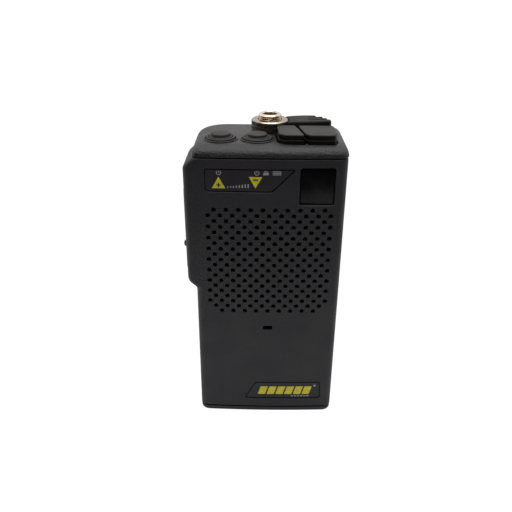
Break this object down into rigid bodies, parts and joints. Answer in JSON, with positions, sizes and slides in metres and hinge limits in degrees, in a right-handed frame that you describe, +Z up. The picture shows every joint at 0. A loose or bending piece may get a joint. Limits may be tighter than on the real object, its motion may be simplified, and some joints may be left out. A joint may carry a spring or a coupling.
{
  "type": "handheld two-way radio",
  "caption": "Upright hand-held radio with drilled speaker face, rubber top keys, side talk bar, threaded aerial socket, slide-out battery pack and sprung belt clip.",
  "frame": {"origin": "middle of the base of the battery pack, on the surface the radio stands on", "axes": "+Z up through the aerial socket, -Y out of the speaker face, +X to the right seen from the front"},
  "size_m": [0.0682, 0.0485, 0.1394],
  "materials": {
    "case_plastic": "fine spark-eroded grain, satin on worn edges",
    "key_rubber": "matt moulded silicone rubber, warm dark grey",
    "ptt_rubber": "matt moulded rubber",
    "smoked_lens": "polished dark smoked acrylic",
    "label_film": "printed polycarbonate film, fine satin",
    "badge_film": "printed polycarbonate film, fine satin",
    "nickel": "nickel plate, fine knurl, slightly tarnished",
    "brass": "bright turned brass",
    "steel": "zinc-plated steel",
    "spring_steel": "drawn spring wire",
    "board": "green solder mask on glass epoxy",
    "black_plastic": "moulded black nylon",
    "speaker_felt": "thin black acoustic cloth",
    "cone_fibre": "pressed fibre cone",
    "magnet": "plated magnet can",
    "tin_plate": "tin-plated sheet",
    "ptfe": "turned white fluoropolymer",
    "cell_sleeve": "shrink sleeve on a cell",
    "led_module": "dark red-tinted resin"
  },
  "bodies": {
    "housing": {"front_case": "case_plastic", "rear_case": "case_plastic", "top_cap": "case_plastic", "control_label": "label_film", "badge_plate": "badge_film", "display_lens": "smoked_lens", "display_module": "led_module", "speaker_cloth": "speaker_felt", "speaker_frame": "tin_plate", "speaker_cone": "cone_fibre", "speaker_magnet": "magnet", "mic_boot": "key_rubber", "mic_capsule": "tin_plate", "main_board": "board", "rf_shield": "tin_plate", "chassis_plate": "steel", "key_board": "board", "volume_up_switch": "black_plastic", "volume_down_switch": "black_plastic", "left_key_switch": "black_plastic", "right_key_switch": "black_plastic", "ptt_switch": "black_plastic", "speaker_jack": "black_plastic", "mic_jack": "black_plastic", "antenna_bush": "brass", "antenna_nut": "nickel", "antenna_insulator": "ptfe", "antenna_contact": "brass", "case_contact_positive": "brass", "case_contact_negative": "brass", "charge_contact_left": "nickel", "charge_contact_right": "nickel", "case_screw_1": "steel", "case_screw_2": "steel", "clip_screw_1": "steel", "clip_screw_2": "steel", "clip_bracket": "steel", "clip_pin": "steel", "clip_spring": "spring_steel"},
    "ptt_bar": {"ptt_pad": "ptt_rubber", "ptt_lever": "black_plastic"},
    "volume_up": {"volume_up_button": "key_rubber"},
    "volume_down": {"volume_down_button": "key_rubber"},
    "left_key_cap": {"left_key": "key_rubber"},
    "right_key_cap": {"right_key": "key_rubber"},
    "dust_cover": {"jack_cover": "key_rubber"},
    "battery_pack": {"battery_tray": "case_plastic", "battery_cell_1": "cell_sleeve", "battery_cell_2": "cell_sleeve", "battery_cell_3": "cell_sleeve", "battery_cell_4": "cell_sleeve", "battery_cell_5": "cell_sleeve", "battery_cell_6": "cell_sleeve", "pack_contact_positive": "brass", "pack_contact_negative": "brass"},
    "latch_slider": {"battery_latch": "case_plastic"},
    "clip_lever": {"belt_clip": "case_plastic"}
  },
  "joints": [
    {"name": "ptt_press", "type": "slide", "parent": "housing", "child": "ptt_bar", "axis": [1, 0, 0], "range_m": [0, 0.0009], "stiffness_N_per_m": 1800, "springref_m": -0.0006},
    {"name": "volume_up_press", "type": "slide", "parent": "housing", "child": "volume_up", "axis": [0, 0, -1], "range_m": [0, 0.0008], "stiffness_N_per_m": 1200, "springref_m": -0.0005},
    {"name": "volume_down_press", "type": "slide", "parent": "housing", "child": "volume_down", "axis": [0, 0, -1], "range_m": [0, 0.0008], "stiffness_N_per_m": 1200, "springref_m": -0.0005},
    {"name": "left_key_press", "type": "slide", "parent": "housing", "child": "left_key_cap", "axis": [0, 0, -1], "range_m": [0, 0.0008], "stiffness_N_per_m": 1200, "springref_m": -0.0005},
    {"name": "right_key_press", "type": "slide", "parent": "housing", "child": "right_key_cap", "axis": [0, 0, -1], "range_m": [0, 0.0008], "stiffness_N_per_m": 1200, "springref_m": -0.0005},
    {"name": "jack_cover_pull", "type": "slide", "parent": "housing", "child": "dust_cover", "axis": [0, 0, 1], "range_m": [0, 0.008]},
    {"name": "battery_slide", "type": "slide", "parent": "housing", "child": "battery_pack", "axis": [0, 0, -1], "range_m": [0, 0.112]},
    {"name": "latch_slide", "type": "slide", "parent": "housing", "child": "latch_slider", "axis": [0, 0, 1], "range_m": [0, 0.0025], "stiffness_N_per_m": 400, "springref_m": -0.002},
    {"name": "clip_hinge", "type": "hinge", "parent": "housing", "child": "clip_lever", "pos_m": [0, 0.0242, 0.099], "axis": [1, 0, 0], "range_deg": [0, 14], "stiffness_Nm_per_rad": 0.25, "springref_deg": -20.05}
  ]
}
